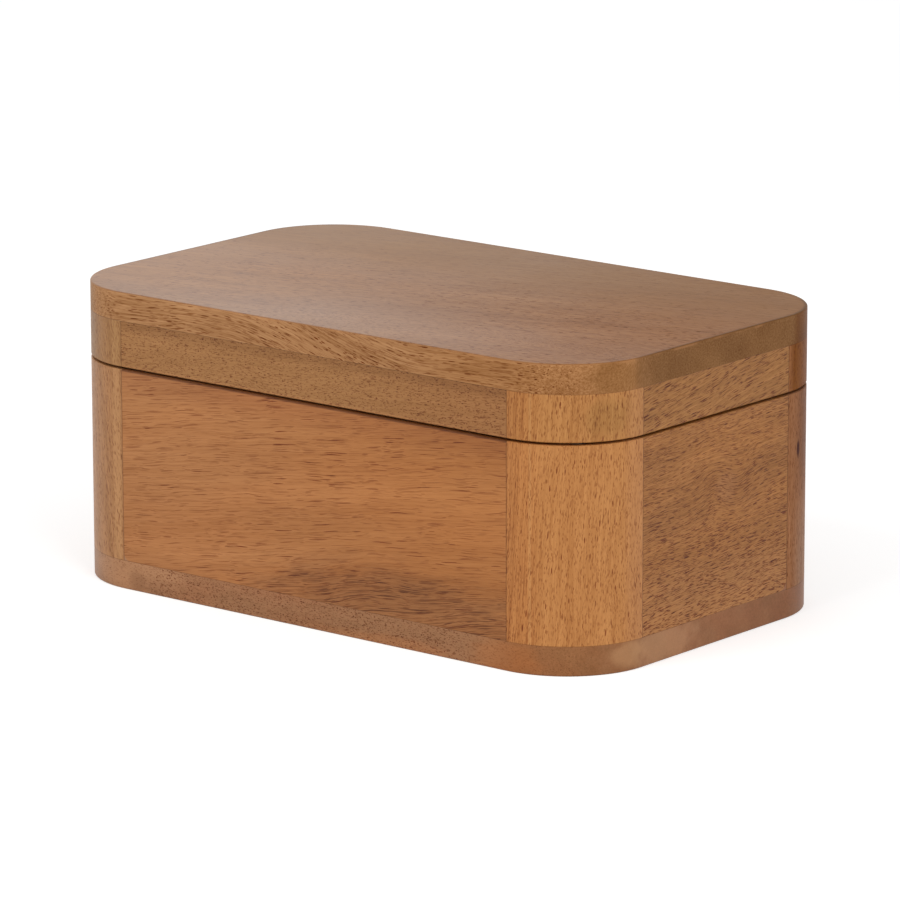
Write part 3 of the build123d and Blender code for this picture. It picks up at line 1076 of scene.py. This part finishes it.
def screw_shape():
    """The tree of slotted, countersunk screws on the points of a mesh."""
    shape = Shape("slotted_screws", SCREW_INPUTS)
    asked = shape.asked
    head, shank, length = asked("Head Radius"), asked("Shank Radius"), asked("Length")
    slot, thread, pitch = asked("Slot Width"), asked("Thread Depth"), asked("Pitch")
    core = shank - thread
    neck = shank - head
    collar = length * -COLLAR_END
    profile = [
        (0, 0), (head, 0), (shank, neck), (shank, collar), (core, collar - thread),
        (core, length * -TIP_START), (0, length * -1),
    ]

    def line(first, second):
        (near, high), (far, low) = first, second
        sockets = {"Start": shape.point(near - head, high * -1), "End": shape.point(far - head, low * -1)}
        return shape.step("CurvePrimitiveLine", sockets)

    ring = shape.step("CurvePrimitiveCircle", {"Resolution": LATHE_STEPS, "Radius": head})
    sides = shape.joined(*[line(*pair) for pair in zip(profile, profile[1:])])
    turned = shape.step("CurveToMesh", {"Curve": ring, "Profile Curve": sides})
    whole = shape.step("MergeByDistance", {"Geometry": turned, "Distance": SCREW_WELD})
    bar = shape.step("MeshCube", {"Size": shape.point(head * 3, slot, slot * 1.5)}, "Mesh")
    slotted = shape.step("MeshBoolean", {0: whole, 1: bar}, operation="DIFFERENCE")
    run = length * THREAD_SHARE
    sockets = {"Rotations": run / pitch, "Height": run, "Start Radius": core, "End Radius": core}
    spiral = shape.step("CurveSpiral", {"Resolution": THREAD_STEPS, **sockets})
    path = shape.moved(spiral, shape.point(z=length * -THREAD_END))
    wire = shape.step("CurvePrimitiveCircle", {"Resolution": WIRE_SIDES, "Radius": thread})
    sockets = {"Curve": path, "Profile Curve": wire, "Fill Caps": True}
    wound = shape.step("CurveToMesh", sockets)
    turns = {2: -math.pi, 3: math.pi, "Seed": asked("Seed")}
    angle = shape.node("FunctionNodeRandomValue", turns, 1, data_type="FLOAT")
    sockets = {"Points": asked("Geometry"), "Instance": shape.joined(slotted, wound)}
    sockets["Rotation"] = shape.point(x=asked("Turn Over"), z=angle)
    shape.done(shape.step("InstanceOnPoints", sockets))
    return shape


SCREW = screw_shape()
print("screw tree with", len(SCREW.tree.nodes), "nodes")

# %% [markdown]
# Each body has four screws, two in a leaf. Their places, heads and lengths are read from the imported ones,
# and the screws of the lid point up. The seed gives each body's slots their own angles.

# %% Screws of both bodies
SCREW_SPACING = 20.0
SHANK_RADIUS = 1.3
SLOT_WIDTH = 0.5
THREAD_DEPTH = 0.28
THREAD_PITCH = 1.0
BOX_SEED = 3
LID_SEED = 4


def make_screws(name, node, body, over):
    """The screws of one body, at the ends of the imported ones; over turns their heads down."""
    low, high = corners_mm(node)
    head_radius = (high.y - low.y) / 2
    outer = high.x - head_radius
    level = low.z if over else high.z
    places = [side * x * MM for side in (-1, 1) for x in (outer - SCREW_SPACING, outer)]
    start = bpy.data.meshes.new(name + "_places")
    start.from_pydata([(x, (low.y + high.y) / 2 * MM, level * MM) for x in places], [], [])
    values = {
        "Head Radius": head_radius * MM, "Shank Radius": SHANK_RADIUS * MM,
        "Length": (high.z - low.z) * MM, "Slot Width": SLOT_WIDTH * MM,
        "Thread Depth": THREAD_DEPTH * MM, "Pitch": THREAD_PITCH * MM,
        "Turn Over": math.pi if over else 0.0, "Seed": LID_SEED if over else BOX_SEED,
        "Material": screw_brass,
    }
    piece = smoothed(shaped(name, start, SCREW, values))
    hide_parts(node)
    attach(piece, body)


make_screws("box_screws", "box_leaf_screws", "box", False)
make_screws("lid_screws", "lid_leaf_screws", "lid", True)

# %% [markdown]
# The buffer pads are discs punched from dark felt, matt and fuzzy, with an edge that the punch has
# pressed round. Two discs are quickest made by hand: a circle, raised, with its two rims bevelled.

# %% Felt pads
PAD_SOFTNESS = 0.3
PAD_STEPS = 48
PAD_RIM_STEPS = 3
FELT_SHEEN = 0.12


def felt():
    finish = Finish("dark_felt")
    fuzz = finish.noise(finish.place, (0.35, 0.35, 0.35), 3.0)
    clumps = finish.noise(finish.place, (1.6, 1.6, 1.6))
    tint = finish.mix((fuzz * 0.7 + clumps * 0.3).clamp(), screen(50, 40, 32), screen(88, 73, 60))
    sockets = {"Base Color": tint, "Roughness": fuzz * 0.1 + 0.85, "Normal": finish.bump(fuzz * 0.25)}
    sockets["Sheen Weight"] = FELT_SHEEN
    return finish.surface(finish.node("ShaderNodeBsdfPrincipled", sockets))


def make_pads():
    """A soft-edged disc in the place of each packed pad."""
    low, high = (corner * MM for corner in corners_mm("buffer_pads"))
    radius = (high.y - low.y) / 2
    shell = bmesh.new()
    for side in (-1, 1):
        middle = Vector((side * (high.x - radius), low.y + radius, (low.z + high.z) / 2))
        sizes = {"radius1": radius, "radius2": radius, "depth": high.z - low.z, "segments": PAD_STEPS}
        bmesh.ops.create_cone(shell, cap_ends=True, matrix=Matrix.Translation(middle), **sizes)
    rims = [edge for edge in shell.edges if abs(edge.verts[0].co.z - edge.verts[1].co.z) < WELD]
    softening = {"offset": PAD_SOFTNESS * MM, "segments": PAD_RIM_STEPS, "profile": 0.5}
    bmesh.ops.bevel(shell, geom=rims, affect="EDGES", **softening)
    mesh = bpy.data.meshes.new("felt_pads")
    shell.to_mesh(mesh)
    shell.free()
    mesh.materials.append(felt())
    return smoothed(placed("felt_pads", mesh))


pads = make_pads()
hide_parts("buffer_pads")
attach(pads, "box")
